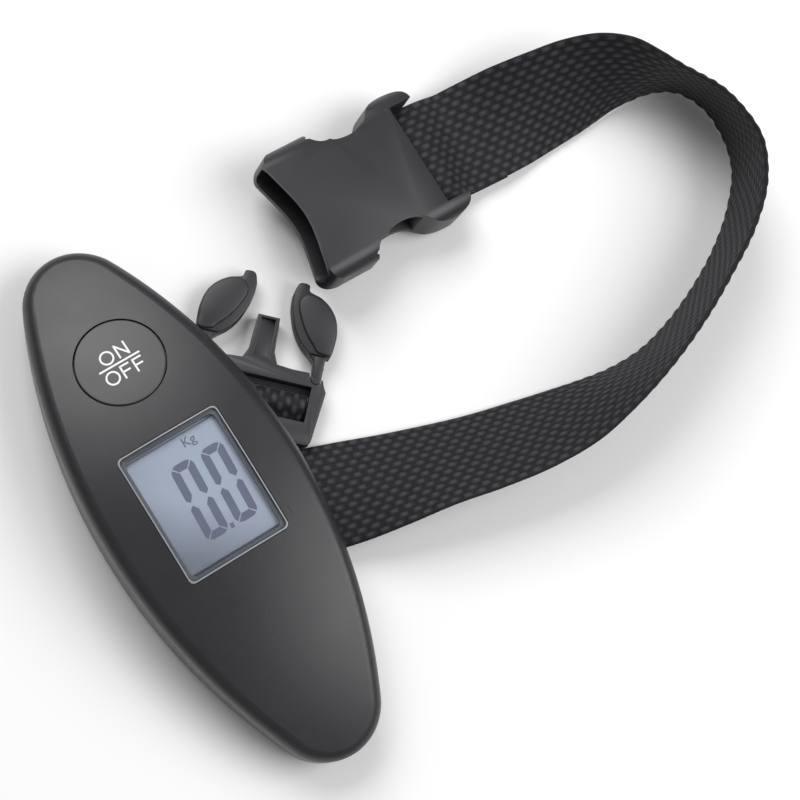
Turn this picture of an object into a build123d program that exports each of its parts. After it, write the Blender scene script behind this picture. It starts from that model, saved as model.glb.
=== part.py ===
"""Hand-held digital luggage scale with a webbing strap and a side-release buckle.

Frame: +Z is out of the display, +Y points towards the button end of the body, +X is the side on
which the strap leaves.  The body lies on its flat back, in the plane Z = 0, and the origin is the
middle of that face.
"""
import os
from math import asin, atan2, cos, pi, radians, sin, sqrt, tan

from build123d import *

os.makedirs("parts", exist_ok=True)

# ---------------------------------------------------------------- driving dimensions, mm and degrees
body_length = 132.0
body_width = 48.6
body_height = 25.0
end_radius = 12.9
crown_radius_long = 184.0
crown_radius_cross = 140.0
split_height = 11.5
shell_wall = 2.0
front_edge_radius = 3.5
back_edge_radius = 5.0

lens_width = 25.8
lens_length = 32.4
lens_centre_y = 0.7
lens_bottom_z = 22.8
window_margin = 1.2

button_y = 36.0
button_ring_radius = 10.6
button_gap = 0.25
button_travel = 0.5

board_bottom_z = 14.4
board_thickness = 1.0
glass_bottom_z = 19.2
glass_thickness = 2.1

load_y = -3.0
bar_z = 3.7
bar_radius = 1.75
bar_skew = 10.0
stirrup_inner_half = 17.2
stirrup_sheet = 1.2
beam_bottom_z = 9.6
beam_height = 4.2
beam_width = 9.0

cell_y = -41.0
cell_radius = 10.0
cell_thickness = 3.2
cover_radius = 12.0
running_gap = 0.05

web_width = 25.6
web_thickness = 1.5
table_gap = 0.15
bar_clearance = 0.3

female_length = 41.6
female_half_width = 17.2
female_height = 11.6
female_tilt = 9.5
female_end_x = 93.2
female_y = 44.8

male_x = 34.7
male_y = 26.9
male_heading = 46.1
male_bottom_z = 0.3
male_thickness = 4.4
arm_thickness = 5.6
arm_root_radius = 1.3

# ---------------------------------------------------------------- derived places
half_length = body_length / 2
half_width = body_width / 2
end_reach = half_length - end_radius
side_radius = (end_reach**2 + half_width**2 - end_radius**2) / (2 * (half_width - end_radius))
board_top_z = board_bottom_z + board_thickness
beam_top_z = beam_bottom_z + beam_height


def crown_z(x, y, drop=0.0):
    """Height of the domed front at a point in plan, lowered by drop."""
    long_sag = crown_radius_long - sqrt(crown_radius_long**2 - y**2)
    cross_sag = crown_radius_cross - sqrt(crown_radius_cross**2 - x**2)
    return body_height - drop - long_sag - cross_sag


def save(shape, name):
    """Write one named piece and print its size."""
    shape.label = name
    export_step(shape, f"parts/{name}.step")
    print(f"{name:24s} {shape.volume:10.1f} mm3")


def box_between(low, high):
    """A box from its lowest to its highest corner."""
    size = [b - a for a, b in zip(low, high)]
    middle = [(a + b) / 2 for a, b in zip(low, high)]
    return Pos(*middle) * Box(*size)


def rod(radius, low_z, high_z, x=0.0, y=0.0):
    """An upright cylinder."""
    return Pos(x, y, (low_z + high_z) / 2) * Cylinder(radius, high_z - low_z)


# ---------------------------------------------------------------- body shells
def body_outline(inset=0.0):
    """Plan of the body, two long side arcs and two round ends, moved in by inset."""
    angle = atan2(end_reach, side_radius - half_width)
    radius = end_radius - inset
    tx = radius * cos(angle)
    ty = end_reach + radius * sin(angle)
    side = half_width - inset
    tip = half_length - inset
    edges = [
        ThreePointArc((tx, -ty), (side, 0), (tx, ty)),
        ThreePointArc((tx, ty), (0, tip), (-tx, ty)),
        ThreePointArc((-tx, ty), (-side, 0), (-tx, -ty)),
        ThreePointArc((-tx, -ty), (0, -tip), (tx, -ty)),
    ]
    return make_face(edges)


def crown_block(drop=0.0):
    """Everything below the domed front surface, lowered by drop."""
    reach = 40.0
    top = body_height - drop
    sag = crown_radius_cross - sqrt(crown_radius_cross**2 - reach**2)
    floor = -45.0
    profile = make_face(
        Plane.XZ
        * Curve(
            [
                ThreePointArc((-reach, top - sag), (0, top), (reach, top - sag)),
                Line((reach, top - sag), (reach, floor)),
                Line((reach, floor), (-reach, floor)),
                Line((-reach, floor), (-reach, top - sag)),
            ]
        )
    )
    centre = body_height - crown_radius_long
    pivot = Axis((0, 0, centre), (1, 0, 0))
    sweep = 100.0
    return revolve(profile.rotate(pivot, -sweep / 2), pivot, sweep)


def front_solid(inset=0.0):
    """The front half of the body as a full solid, moved in by inset."""
    low = split_height - (5.0 if inset else 0.0)
    block = Pos(0, 0, low) * extrude(body_outline(inset), 30)
    solid = block & crown_block(inset)
    rim = solid.edges().filter_by(lambda e: e.center().Z > low + 1.5)
    return fillet(rim, front_edge_radius - 0.6 * inset)


def back_solid(inset=0.0):
    """The back half of the body as a full solid, moved in by inset."""
    high = split_height + (5.0 if inset else 0.0)
    block = Pos(0, 0, inset) * extrude(body_outline(inset), high - inset)
    rim = block.edges().filter_by(lambda e: e.center().Z < inset + 0.1)
    return fillet(rim, back_edge_radius - inset)


def lens_prism(margin, low_z, high_z, corner=1.8):
    """An upright block with the lens outline, moved in by margin."""
    plan = RectangleRounded(lens_width - 2 * margin, lens_length - 2 * margin, corner)
    return Pos(0, lens_centre_y, low_z) * extrude(plan, high_z - low_z)


button_slope = asin(button_y / crown_radius_long)
button_normal = Vector(0, sin(button_slope), cos(button_slope))
button_top = Vector(0, button_y, crown_z(0, button_y))
button_plane = Plane(origin=button_top, x_dir=(1, 0, 0), z_dir=button_normal)


def button_disc(radius, deep, shallow):
    """A disc on the button's tilted axis, between two depths below the front surface."""
    middle = -(deep + shallow) / 2
    return button_plane * (Pos(0, 0, middle) * Cylinder(radius, deep - shallow))


screw_places = [(0, 52.5), (-17.0, 21.0), (-16.5, -24.0), (14.5, -31.2)]
screw_boss_radius = 2.8
screw_hole_radius = 0.9
head_radius = 2.1
head_floor_z = 4.2
beam_screw_y = (24.5, 31.5)


def front_shell():
    """Domed front moulding with the window, its ledge and the button hole."""
    shell = front_solid() - front_solid(shell_wall)
    rim = lens_prism(-2.0, lens_bottom_z - 1.35, 30, 2.5) & front_solid()
    shell = shell + rim
    shell = shell - lens_prism(-0.1, lens_bottom_z, 30)
    shell = shell - lens_prism(window_margin, 10, 30, 1.0)
    shell = shell - button_disc(button_ring_radius, 6.0, -4.0)
    for x, y in screw_places:
        top = crown_z(x, y) - 1.0
        shell = shell + (rod(screw_boss_radius, split_height + 0.2, top, x, y) & front_solid())
        shell = shell - rod(screw_hole_radius, split_height - 1, split_height + 3.6, x, y)
    return shell


# ---------------------------------------------------------------- strap recess in the back
slot_half_width = 4.9
slot_half_length = 20.2
stirrup_place = Pos(0, load_y, 0) * Rot(0, 0, bar_skew)
channel_plan = [
    (-3.5, 15.5),
    (2.0, 21.0),
    (7.0, 25.2),
    (21.5, 40.0),
    (50.0, 60.0),
    (60.0, 0.0),
    (50.0, -40.0),
    (22.0, -28.5),
    (9.0, -25.0),
    (2.5, -23.0),
]
channel_top_at_bar = 8.0
channel_slope = 0.04


def below_channel_roof(lift=0.0):
    """Everything below the sloping roof of the strap channel."""
    start = -30.0
    end = 80.0
    top = [channel_top_at_bar + lift - channel_slope * (x + 3.0) for x in (start, end)]
    side = make_face(
        Plane.XZ * Polyline((start, -5), (end, -5), (end, top[1]), (start, top[0]), close=True)
    )
    return extrude(side, 80, both=True)


def strap_channel(margin=0.0):
    """Fan-shaped space under the body in which the two legs of the strap lie."""
    plan = make_face(Polyline(*channel_plan, close=True))
    if margin:
        plan = offset(plan, margin, kind=Kind.INTERSECTION)
    prism = Pos(0, 0, -2) * extrude(plan, 20)
    return prism & below_channel_roof(margin)


def stirrup_slot(margin=0.0):
    """Slot through the back for the stirrup and the fold of the strap."""
    low = -2.0
    high = split_height + 1 if not margin else beam_bottom_z - 0.4
    plan = RectangleRounded(
        2 * (slot_half_width + margin), 2 * (slot_half_length + margin), 2.0 + margin
    )
    return stirrup_place * (Pos(0, 0, low) * extrude(plan, high - low))


cover_top_z = 2.2
cell_bottom_z = 3.0


def back_shell():
    """Back moulding with the strap recess, the battery well and the bosses."""
    inside = back_solid(shell_wall)
    shell = back_solid() - inside
    shell = shell + (strap_channel(1.4) & back_solid())
    shell = shell + (stirrup_slot(1.4) & back_solid())
    for y in beam_screw_y:
        shell = shell + rod(3.4, 1.0, beam_bottom_z, 0, y)
    shell = shell + rod(cover_radius + 1.6, 0.6, 8.0, 0, cell_y)
    shell = shell - strap_channel()
    shell = shell - stirrup_slot()
    for y in beam_screw_y:
        shell = shell - rod(1.0, 3.0, beam_bottom_z + 1, 0, y)
    shell = shell - rod(cover_radius + running_gap, -1, cover_top_z, 0, cell_y)
    shell = shell - rod(cell_radius + 0.6, -1, 12, 0, cell_y)
    for x, y in screw_places:
        shell = shell + (rod(screw_boss_radius, 0.5, split_height - 0.1, x, y) & back_solid())
        shell = shell - rod(head_radius + 0.2, -1, head_floor_z, x, y)
        shell = shell - rod(1.3, 0, split_height + 1, x, y)
    return shell


# ---------------------------------------------------------------- display
def display_lens():
    """Clear window, domed with the front and flat behind."""
    lens = lens_prism(0, lens_bottom_z, 30) & crown_block()
    rim = lens.edges().filter_by(lambda e: e.center().Z > lens_bottom_z + 0.6)
    return chamfer(rim.filter_by(lambda e: e.length > 8), 0.3)


def display_glass():
    """Liquid crystal panel, a wide rear glass and a shorter front glass."""
    width = lens_width - 2 * window_margin + 0.2
    length = lens_length - 2 * window_margin
    half = glass_thickness / 2
    rear = Pos(0, lens_centre_y, glass_bottom_z + half / 2) * Box(width, length, half)
    front = Pos(0, lens_centre_y, glass_bottom_z + 1.5 * half) * Box(width, length - 1.6, half)
    return rear + front


def display_frame():
    """Moulded frame that holds the panel above the board."""
    width = lens_width - 2 * window_margin + 0.4
    length = lens_length - 2 * window_margin + 0.2
    low = board_top_z
    high = glass_bottom_z + glass_thickness
    outer = Pos(0, lens_centre_y, (low + high) / 2) * Box(width + 2.4, length + 2.4, high - low)
    return outer - Pos(0, lens_centre_y, (low + high) / 2) * Box(width, length, high - low + 2)


def display_reflector():
    """White sheet behind the panel."""
    return Pos(0, lens_centre_y, glass_bottom_z - 0.5) * Box(22.4, 23.0, 0.6)


def rubber_connectors():
    """Two striped rubber strips that join the panel to the board."""
    height = glass_bottom_z - board_top_z
    middle = board_top_z + height / 2
    reach = lens_length / 2 - window_margin - 1.4
    strips = [Pos(0, lens_centre_y + s * reach, middle) * Box(21.0, 2.0, height) for s in (-1, 1)]
    return Compound(children=strips)


# ---------------------------------------------------------------- electronics
def circuit_board():
    """Board under the display and the button."""
    plan = make_face(
        Polyline((-13, -18), (13, -18), (13, 24), (9, 44), (-9, 44), (-13, 24), close=True)
    )
    board = Pos(0, 0, board_bottom_z) * extrude(plan, board_thickness)
    return board - rod(1.0, 10, 20, -11.0, 22) - rod(1.0, 10, 20, 11.0, 22)


def controller_blob():
    """Drop of black resin over the bonded chip."""
    lump = Pos(0, -3.0, board_top_z) * Sphere(5.0)
    blob = lump & box_between((-6, -9, board_top_z), (6, 3, board_top_z + 2.0))
    return blob


switch_body_height = 2.0
plunger_top_z = board_top_z + switch_body_height + 0.7
plunger_y = button_y - 0.7


def tact_switch():
    """Push switch under the button."""
    body = Pos(0, plunger_y, board_top_z + switch_body_height / 2) * Box(6, 6, switch_body_height)
    return body - rod(1.9, board_top_z + 0.7, board_top_z + 5, 0, plunger_y)


def switch_plunger():
    """Plunger of the push switch, which travels with the button."""
    return rod(1.5, board_top_z + 1.3, plunger_top_z, 0, plunger_y)


def on_off_button():
    """Button cap flush with the domed front, with a flange and a stem."""
    cap = button_disc(button_ring_radius - button_gap, 3.4, -3.0) & crown_block()
    cap = cap + button_disc(button_ring_radius + 0.9, 3.4, 2.65)
    cap = cap - button_disc(button_ring_radius - 1.8, 5.0, 1.7)
    stem = rod(1.3, plunger_top_z, button_top.Z - 1.0, 0, plunger_y)
    rim = cap.edges().filter_by(lambda e: e.center().Z > button_top.Z - 1.2)
    rim = rim.filter_by(lambda e: e.length > 40)
    return fillet(rim, 0.35) + stem


# ---------------------------------------------------------------- load cell and stirrup
beam_end_y = load_y - 5.5
beam_far_y = beam_screw_y[1] + 4.5


def load_cell_beam():
    """Aluminium bending beam with a thinned middle."""
    side = beam_width / 2
    beam = box_between((-side, beam_end_y, beam_bottom_z), (side, beam_far_y, beam_top_z))
    middle = (beam_bottom_z + beam_top_z) / 2
    for y in (8.0, 15.0):
        beam = beam - Pos(0, y, middle) * Rot(0, 90, 0) * Cylinder(1.6, 20)
    beam = beam - Pos(0, 11.5, middle) * Box(20, 7.0, 1.2)
    for y in beam_screw_y:
        beam = beam - rod(1.3, 5, 20, 0, y) - rod(2.3, beam_top_z - 1.2, 20, 0, y)
    beam = beam - rod(1.6, 5, 20, 0, load_y) - rod(2.9, beam_top_z - 1.5, 20, 0, load_y)
    return beam


def strain_gauges():
    """Foil gauges bonded over the thin places of the beam."""
    pads = [Pos(0, y, beam_top_z + 0.1) * Box(5.0, 4.0, 0.2) for y in (8.0, 15.0)]
    return Compound(children=pads)


def beam_screws():
    """Two screws that fix the beam to the back."""
    screws = []
    for y in beam_screw_y:
        head = rod(2.2, beam_top_z - 1.15, beam_top_z - 0.1, 0, y)
        screws.append(head + rod(1.0, 3.2, beam_top_z - 1.1, 0, y))
    return Compound(children=screws)


def stirrup_screw():
    """Screw that fixes the stirrup under the free end of the beam."""
    head = rod(2.8, beam_top_z - 1.45, beam_top_z - 0.1, 0, load_y)
    return head + rod(1.5, beam_bottom_z - stirrup_sheet, beam_top_z - 1.4, 0, load_y)


def pull_stirrup():
    """Folded steel stirrup that carries the strap bar."""
    outer = stirrup_inner_half + stirrup_sheet
    web = box_between((-4.0, -outer, beam_bottom_z - stirrup_sheet), (4.0, outer, beam_bottom_z))
    shape = web
    for side in (-1, 1):
        inner_y = side * stirrup_inner_half
        outer_y = side * outer
        low_y = min(inner_y, outer_y)
        high_y = max(inner_y, outer_y)
        arm = box_between((-2.8, low_y, bar_z), (2.8, high_y, beam_bottom_z))
        foot = Pos(0, (low_y + high_y) / 2, bar_z) * Rot(90, 0, 0) * Cylinder(2.8, stirrup_sheet)
        shape = shape + arm + foot
    shape = shape - Pos(0, 0, bar_z) * Rot(90, 0, 0) * Cylinder(bar_radius + 0.03, 60)
    shape = shape - rod(1.55, 5, 12)
    return stirrup_place * shape


def strap_bar():
    """Steel pin across the stirrup, with a head at each end."""
    half = stirrup_inner_half + stirrup_sheet
    pin = Pos(0, 0, bar_z) * Rot(90, 0, 0) * Cylinder(bar_radius, 2 * half)
    for side in (-1, 1):
        pin = pin + Pos(0, side * (half + 0.35), bar_z) * Rot(90, 0, 0) * Cylinder(2.4, 0.7)
    return stirrup_place * pin


# ---------------------------------------------------------------- battery and fasteners
def coin_cell():
    """Lithium coin cell, can and cap."""
    can = rod(cell_radius, cell_bottom_z, cell_bottom_z + cell_thickness - 0.4, 0, cell_y)
    can = fillet(can.edges(), 0.3)
    cap = rod(cell_radius - 1.6, cell_bottom_z + 1, cell_bottom_z + cell_thickness, 0, cell_y)
    return can + cap


def battery_cover():
    """Round cover with a coin slot, which turns in the back."""
    disc = rod(cover_radius, 0.2, cover_top_z - 0.05, 0, cell_y)
    plug = rod(cell_radius + 0.5, cover_top_z - 0.5, cell_bottom_z - 0.15, 0, cell_y)
    coin_slot = Pos(0, cell_y, 0.2) * Box(13.0, 1.8, 2.2)
    return disc + plug - coin_slot


def cell_contacts():
    """Spring contact over the cell and side contact beside it."""
    top = cell_bottom_z + cell_thickness
    arm = Pos(0, cell_y + 3, top + 1.1) * Rot(7, 0, 0) * Box(4.0, 14.0, 0.3)
    side = Pos(0, cell_y + 10.26, cell_bottom_z + 2.2) * Box(3.0, 0.3, 3.6)
    return arm, side


def shell_screws():
    """Four self-tapping screws that close the body from behind."""
    screws = []
    for x, y in screw_places:
        head = rod(head_radius, head_floor_z - 1.6, head_floor_z, x, y)
        head = head - Pos(x, y, head_floor_z - 1.6) * Box(2.6, 0.6, 1.4)
        head = head - Pos(x, y, head_floor_z - 1.6) * Box(0.6, 2.6, 1.4)
        screws.append(head + rod(0.85, head_floor_z, split_height + 3.2, x, y))
    return Compound(children=screws)


# ---------------------------------------------------------------- side-release buckle, receiving half
tilt = radians(female_tilt)
female_low_z = 0.25 + female_height / 2
female_plane = Plane(
    origin=(female_end_x, female_y, female_low_z),
    x_dir=(-cos(tilt), 0, sin(tilt)),
    z_dir=(sin(tilt), 0, cos(tilt)),
)
web_slot_half = web_width / 2 + 0.45
end_bar_from = 0.95
end_bar_to = 3.05
web_slot_to = 6.4
end_bar_top = -0.1
end_bar_bottom = -2.9
socket_height = female_height - 3.0
socket_half_width = 14.8
window_from = 13.5
window_to = 26.8
latch_half_width = 15.9
latch_from = 29.0
latch_ledge = female_length - 6.7
mouth_corner = 3.8


def female_half_plan():
    """Corner points of one side of the receiving half, from the ears to the mouth."""
    return [
        (0.0, 13.6),
        (0.9, 15.6),
        (3.6, 16.9),
        (7.8, 17.0),
        (11.3, 15.8),
        (13.8, 13.4),
        (16.6, 12.2),
        (20.4, 12.0),
        (23.4, 12.8),
        (25.8, 14.7),
        (28.2, 16.4),
        (31.4, 17.2),
    ]


def buckle_female():
    """Receiving half: hollow body, side windows, ears, web slot and end bar."""
    left_points = female_half_plan()
    right_points = [(u, -v) for u, v in left_points]
    left = Spline(*left_points, tangents=[(0.2, 1), (1, 0)])
    right = Spline(*right_points, tangents=[(0.2, -1), (1, 0)])
    mouth = female_length
    flank = (mouth - 3.6, female_half_width)
    round_over = (mouth - 0.9, female_half_width - 1.1)
    corner = (mouth, female_half_width - mouth_corner)
    flank_right = (flank[0], -flank[1])
    round_over_right = (round_over[0], -round_over[1])
    corner_right = (corner[0], -corner[1])
    hollow = (mouth - 2.6, 0)
    edges = [
        left,
        Line(left_points[-1], flank),
        ThreePointArc(flank, round_over, corner),
        Spline(corner, (mouth - 1.6, 7.0), hollow, (mouth - 1.6, -7.0), corner_right),
        ThreePointArc(corner_right, round_over_right, flank_right),
        Line(flank_right, right_points[-1]),
        right,
        Line(right_points[0], left_points[0]),
    ]
    plan = make_face(edges)
    body = extrude(plan, female_height / 2, both=True)
    section = RectangleRounded(2 * female_half_width + 0.8, female_height, 4.2)
    body = body & (Plane.YZ.offset(-10) * extrude(section, 80))
    deep_plan = RectangleRounded(19.0, socket_height, 2.0)
    body = body - Plane.YZ.offset(9.0) * extrude(deep_plan, 10)
    socket_plan = RectangleRounded(2 * socket_half_width, socket_height, 2.4)
    body = body - Plane.YZ.offset(window_from) * extrude(socket_plan, 60)
    latch_plan = RectangleRounded(2 * latch_half_width, socket_height, 1.0)
    body = body - Plane.YZ.offset(latch_from) * extrude(latch_plan, latch_ledge - latch_from)
    half_window = socket_height / 2
    body = body - box_between((window_from, -30, -half_window), (window_to, 30, half_window))
    slot_side = web_slot_half
    body = body - box_between((end_bar_to, -slot_side, -20), (web_slot_to, slot_side, 20))
    body = body - box_between((-5, -slot_side, end_bar_top), (end_bar_to + 1, slot_side, 20))
    body = body - box_between((-5, -slot_side, -20), (end_bar_to + 1, slot_side, end_bar_bottom))
    body = body - box_between((-5, -slot_side, -20), (end_bar_from, slot_side, 20))
    return female_plane * body


# ---------------------------------------------------------------- side-release buckle, inserted half
male_plane = Plane(
    origin=(male_x, male_y, male_bottom_z),
    x_dir=(cos(radians(male_heading)), sin(radians(male_heading)), 0),
    z_dir=(0, 0, 1),
)
frame_rear = -23.5
frame_front = -6.4
frame_half = 16.6
window_rear = -18.2
window_front = -9.6
mid_bar_from = -15.4
mid_bar_to = -13.0
arm_pivot_s = -7.4
arm_pivot_p = 13.9
prong_end = 4.9


def buckle_male_frame():
    """Inserted half without its arms: rails, rear bar, sunk middle bar and guide prong."""
    plan = make_face(
        Polyline(
            (frame_rear, -15.6),
            (frame_rear, 15.6),
            (window_front - 0.6, frame_half + 0.2),
            (window_front + 0.4, frame_half - 0.4),
            (frame_front - 1.0, 15.5),
            (frame_front - 1.0, 12.4),
            (frame_front + 0.1, 12.0),
            (frame_front, 8.0),
            (frame_front + 0.3, 4.2),
            (frame_front + 3.0, 3.0),
            (prong_end, 2.6),
            (prong_end, -2.6),
            (frame_front + 3.0, -3.0),
            (frame_front + 0.3, -4.2),
            (frame_front, -8.0),
            (frame_front + 0.1, -12.0),
            (frame_front - 1.0, -12.4),
            (frame_front - 1.0, -15.5),
            (window_front + 0.4, 0.4 - frame_half),
            (window_front - 0.6, -0.2 - frame_half),
            close=True,
        )
    )
    frame = extrude(plan, male_thickness)
    upright = frame.edges().filter_by(Axis.Z)
    frame = fillet(upright.filter_by(lambda e: e.center().X < frame_rear + 1), 1.6)
    window = box_between((window_rear, -web_slot_half, -5), (window_front, web_slot_half, 10))
    frame = frame - window
    bar_half = web_slot_half + 0.5
    bar_top = male_thickness - 1.9
    frame = frame + box_between((mid_bar_from, -bar_half, 0.9), (mid_bar_to, bar_half, bar_top))
    web_way = box_between((frame_rear - 1, -web_slot_half, -5), (window_rear + 1, web_slot_half, 2.4))
    frame = frame - web_way
    lip = box_between((window_front - 1.3, -bar_half, 0), (window_front, bar_half, 0.8))
    frame = frame + lip
    groove_low = male_thickness - 1.6
    groove = box_between((frame_front + 1.5, -1.7, groove_low), (prong_end - 0.6, 1.7, 10))
    frame = frame - groove
    for side in (-1, 1):
        socket = Pos(arm_pivot_s, side * arm_pivot_p, 0) * Cylinder(arm_root_radius + 0.08, 40)
        frame = frame - socket
    return male_plane * frame


def arm_outline():
    """Corner points of the inserted half's right arm, seen from above: along, across."""
    outer = [(-5.6, 15.0), (-2.5, 15.2), (-1.7, 16.1), (3.6, 16.7)]
    outer += [(7.6, 15.8), (11.4, 12.6), (12.6, 8.9)]
    tip = [(13.4, 8.0), (14.5, 7.7), (14.7, 5.2), (12.4, 4.5)]
    inner = [(8.0, 4.8), (3.0, 6.5), (-0.6, 9.2), (-3.4, 11.9), (-5.6, 12.8)]
    return outer, tip, inner


def buckle_arm(side):
    """Springy arm of the inserted half, round at its root."""
    outer, tip, inner = arm_outline()
    points = [(u, -side * v) for u, v in outer + tip + inner]
    plan = make_face(Polyline(*points, close=True))
    arm = extrude(plan, arm_thickness)
    soft = arm.edges().filter_by(Axis.Z).filter_by(lambda e: 2.5 < e.center().X < 12.0)
    arm = fillet(soft, 1.2)
    lift = box_between((-10, -30, male_thickness), (-2.0, 30, 20))
    arm = arm - lift
    pivot = (arm_pivot_s, -side * arm_pivot_p)
    root = rod(arm_root_radius, 0, male_thickness, *pivot)
    neck_low = min(-side * 12.9, -side * 14.9)
    neck_to = arm_pivot_s + 1.9
    neck = box_between((arm_pivot_s, neck_low, 0), (neck_to, neck_low + 2.0, male_thickness))
    return male_plane * (arm + root + neck)


# ---------------------------------------------------------------- webbing strap
turn_stations = [
    # centre x, centre y, bank of the lifted outer edge in degrees, height above the table
    (9.0, -7.2, 0, 0.0),
    (18.0, -10.0, 3, 0.0),
    (30.9, -14.3, 13, 0.0),
    (41.5, -17.4, 25, 0.0),
    (52.4, -20.2, 34, 0.0),
    (63.5, -23.2, 38, 0.0),
    (75.6, -25.7, 42, 0.0),
    (87.3, -27.1, 50, 0.0),
    (95.9, -27.1, 60, 0.0),
    (104.0, -26.6, 69, 0.0),
    (113.6, -24.9, 77, 0.0),
    (122.5, -22.0, 81, 0.0),
    (133.1, -17.3, 84, 0.0),
    (144.0, -11.2, 85, 0.0),
    (153.0, -3.8, 87, 0.0),
    (158.8, 4.6, 92, 0.0),
    (160.2, 14.3, 98, 0.0),
    (159.0, 21.6, 101, 0.0),
    (156.2, 26.6, 101, 0.0),
    (151.8, 30.8, 94, 0.0),
    (147.6, 33.9, 82, 0.0),
    (143.2, 37.0, 67, 0.0),
    (137.6, 39.6, 52, 0.0),
    (131.1, 41.2, 41, 0.0),
    (123.1, 42.2, 32, 0.0),
    (117.6, 42.8, 24, 0.4),
    (113.2, 43.3, 16, 1.1),
    (109.0, 43.7, 9, 1.65),
    (104.6, 44.1, 5, 1.8),
    (100.6, 44.4, 3, 1.9),
    (97.3, 44.7, 2, 3.4),
]
tail_stations = [
    (109.0, 43.7, 9, 0.0),
    (104.6, 44.1, 5, 0.0),
    (100.6, 44.4, 3, 0.0),
    (97.3, 44.7, 2, 0.1),
]
short_leg_points = [
    # centre x, centre y, centre z of the leg that carries the inserted half
    (2.6, -1.0, 6.5),
    (5.6, 0.8, 6.35),
    (9.6, 3.5, 5.2),
    (13.6, 6.3, 3.5),
]
fold_radius = bar_radius + bar_clearance + web_thickness / 2
fold_angle = 19.0
fold_shift = pi * fold_radius * tan(radians(fold_angle)) / 2
fold_offset = -1.0
female_loop_radius = (end_bar_top - end_bar_bottom) / 2 + bar_clearance + web_thickness / 2 + 0.2
male_loop_radius = 2.3
male_loop_w = 1.7
upward = Vector(0, 0, 1)


def banked_sections(stations):
    """Cross sections of the web standing on its inner edge, from places in plan and banks."""
    centres = []
    for x, y, bank, lift in stations:
        b = radians(bank)
        rise = web_width / 2 * abs(sin(b)) + web_thickness / 2 * abs(cos(b))
        centres.append(Vector(x, y, table_gap + rise + lift))
    sections = []
    for i, (_, _, bank, _) in enumerate(stations):
        ahead = centres[min(i + 1, len(centres) - 1)] - centres[max(i - 1, 0)]
        plan = Vector(ahead.X, ahead.Y, 0).normalized()
        outward = Vector(plan.Y, -plan.X, 0)
        b = radians(bank)
        across = outward * cos(b) + upward * sin(b)
        normal = upward * cos(b) - outward * sin(b)
        sections.append((centres[i], across, normal, web_width / 2))
    return sections


def fold_sections():
    """Cross sections of the half turn round the strap bar, from the long leg to the short leg."""
    skew = radians(bar_skew)
    forward = Vector(cos(skew), sin(skew), 0)
    along_bar = Vector(-sin(skew), cos(skew), 0)
    bar = Vector(0, load_y, bar_z)
    half = web_width / 2 / cos(radians(fold_angle))
    steps = 10
    sections = []
    for i in range(steps + 1):
        turn = pi * i / steps
        radial = upward * -cos(turn) - forward * sin(turn)
        slide = fold_offset + fold_shift * (2 * i / steps - 1)
        centre = bar + along_bar * slide + radial * fold_radius
        sections.append((centre, along_bar, radial, half))
    return sections


def leg_sections(points):
    """Cross sections of the web through places in space, level across its width."""
    centres = [Vector(*p) for p in points]
    sections = []
    for i, centre in enumerate(centres):
        ahead = centres[min(i + 1, len(centres) - 1)] - centres[max(i - 1, 0)]
        across = ahead.cross(upward).normalized()
        normal = across.cross(ahead).normalized()
        sections.append((centre, across, normal, web_width / 2))
    return sections


def buckle_sections(plane, points):
    """Cross sections of the web round a bar of a buckle, from places in that buckle's side view."""
    centres = [plane.from_local_coords(Vector(u, 0, w)) for u, w in points]
    across = plane.y_dir
    sections = []
    for i, centre in enumerate(centres):
        ahead = centres[min(i + 1, len(centres) - 1)] - centres[max(i - 1, 0)]
        normal = across.cross(ahead).normalized()
        sections.append((centre, across, normal, web_width / 2))
    return sections


def arc_points(u, w, radius, start, end, steps):
    """Places on an arc in a buckle's side view, angles in degrees from the buckle's axis."""
    angles = [radians(start + (end - start) * i / steps) for i in range(steps + 1)]
    return [(u + radius * cos(a), w + radius * sin(a)) for a in angles]


def web_route():
    """All cross sections of the strap, from its sewn tail at the receiving half to its other end."""
    bar_u = (end_bar_from + end_bar_to) / 2
    bar_w = (end_bar_top + end_bar_bottom) / 2
    female_points = arc_points(bar_u, bar_w, female_loop_radius, -90, 90, 8)
    mid_u = (mid_bar_from + mid_bar_to) / 2
    male_points = [(-24.9, 1.35), (-22.0, 1.15), (-19.6, 1.15), (-17.9, 1.5), (-17.0, 2.3)]
    male_points += arc_points(mid_u, male_loop_w, male_loop_radius, 150, 0, 5)
    male_points.append((mid_u + male_loop_radius, 0.9))
    route = banked_sections(tail_stations)
    route += buckle_sections(female_plane, female_points)
    route += banked_sections(turn_stations)[::-1]
    route += fold_sections()
    route += leg_sections(short_leg_points)
    route += buckle_sections(male_plane, male_points)
    return route


def webbing_strap():
    """One length of flat webbing, lofted straight from one cross section to the next."""
    outlines = []
    last_across = None
    last_normal = None
    length = 0.0
    last_centre = None
    for centre, across, normal, half in web_route():
        a = across.normalized()
        n = normal.normalized()
        if last_centre:
            a = a if a.dot(last_across) > 0 else a * -1
            n = n if n.dot(last_normal) > 0 else n * -1
            length += (centre - last_centre).length
        last_centre, last_across, last_normal = centre, a, n
        a = a * half
        n = n * (web_thickness / 2)
        corners = [centre + a + n, centre - a + n, centre - a - n, centre + a - n]
        outlines.append(Wire.make_polygon(corners, close=True))
    strap = Solid.make_loft(outlines, ruled=True)
    nominal = length * web_width * web_thickness
    print(f"strap length {length:.1f} mm, volume over nominal {strap.volume / nominal:.3f}")
    return strap


# ---------------------------------------------------------------- leads held inside the body
def lead(points, radius):
    """One insulated wire along straight runs with rounded corners."""
    path = FilletPolyline(*points, radius=1.2)
    start = Plane(origin=path @ 0, z_dir=path % 0)
    return sweep(start * Circle(radius), path=path)


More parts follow.
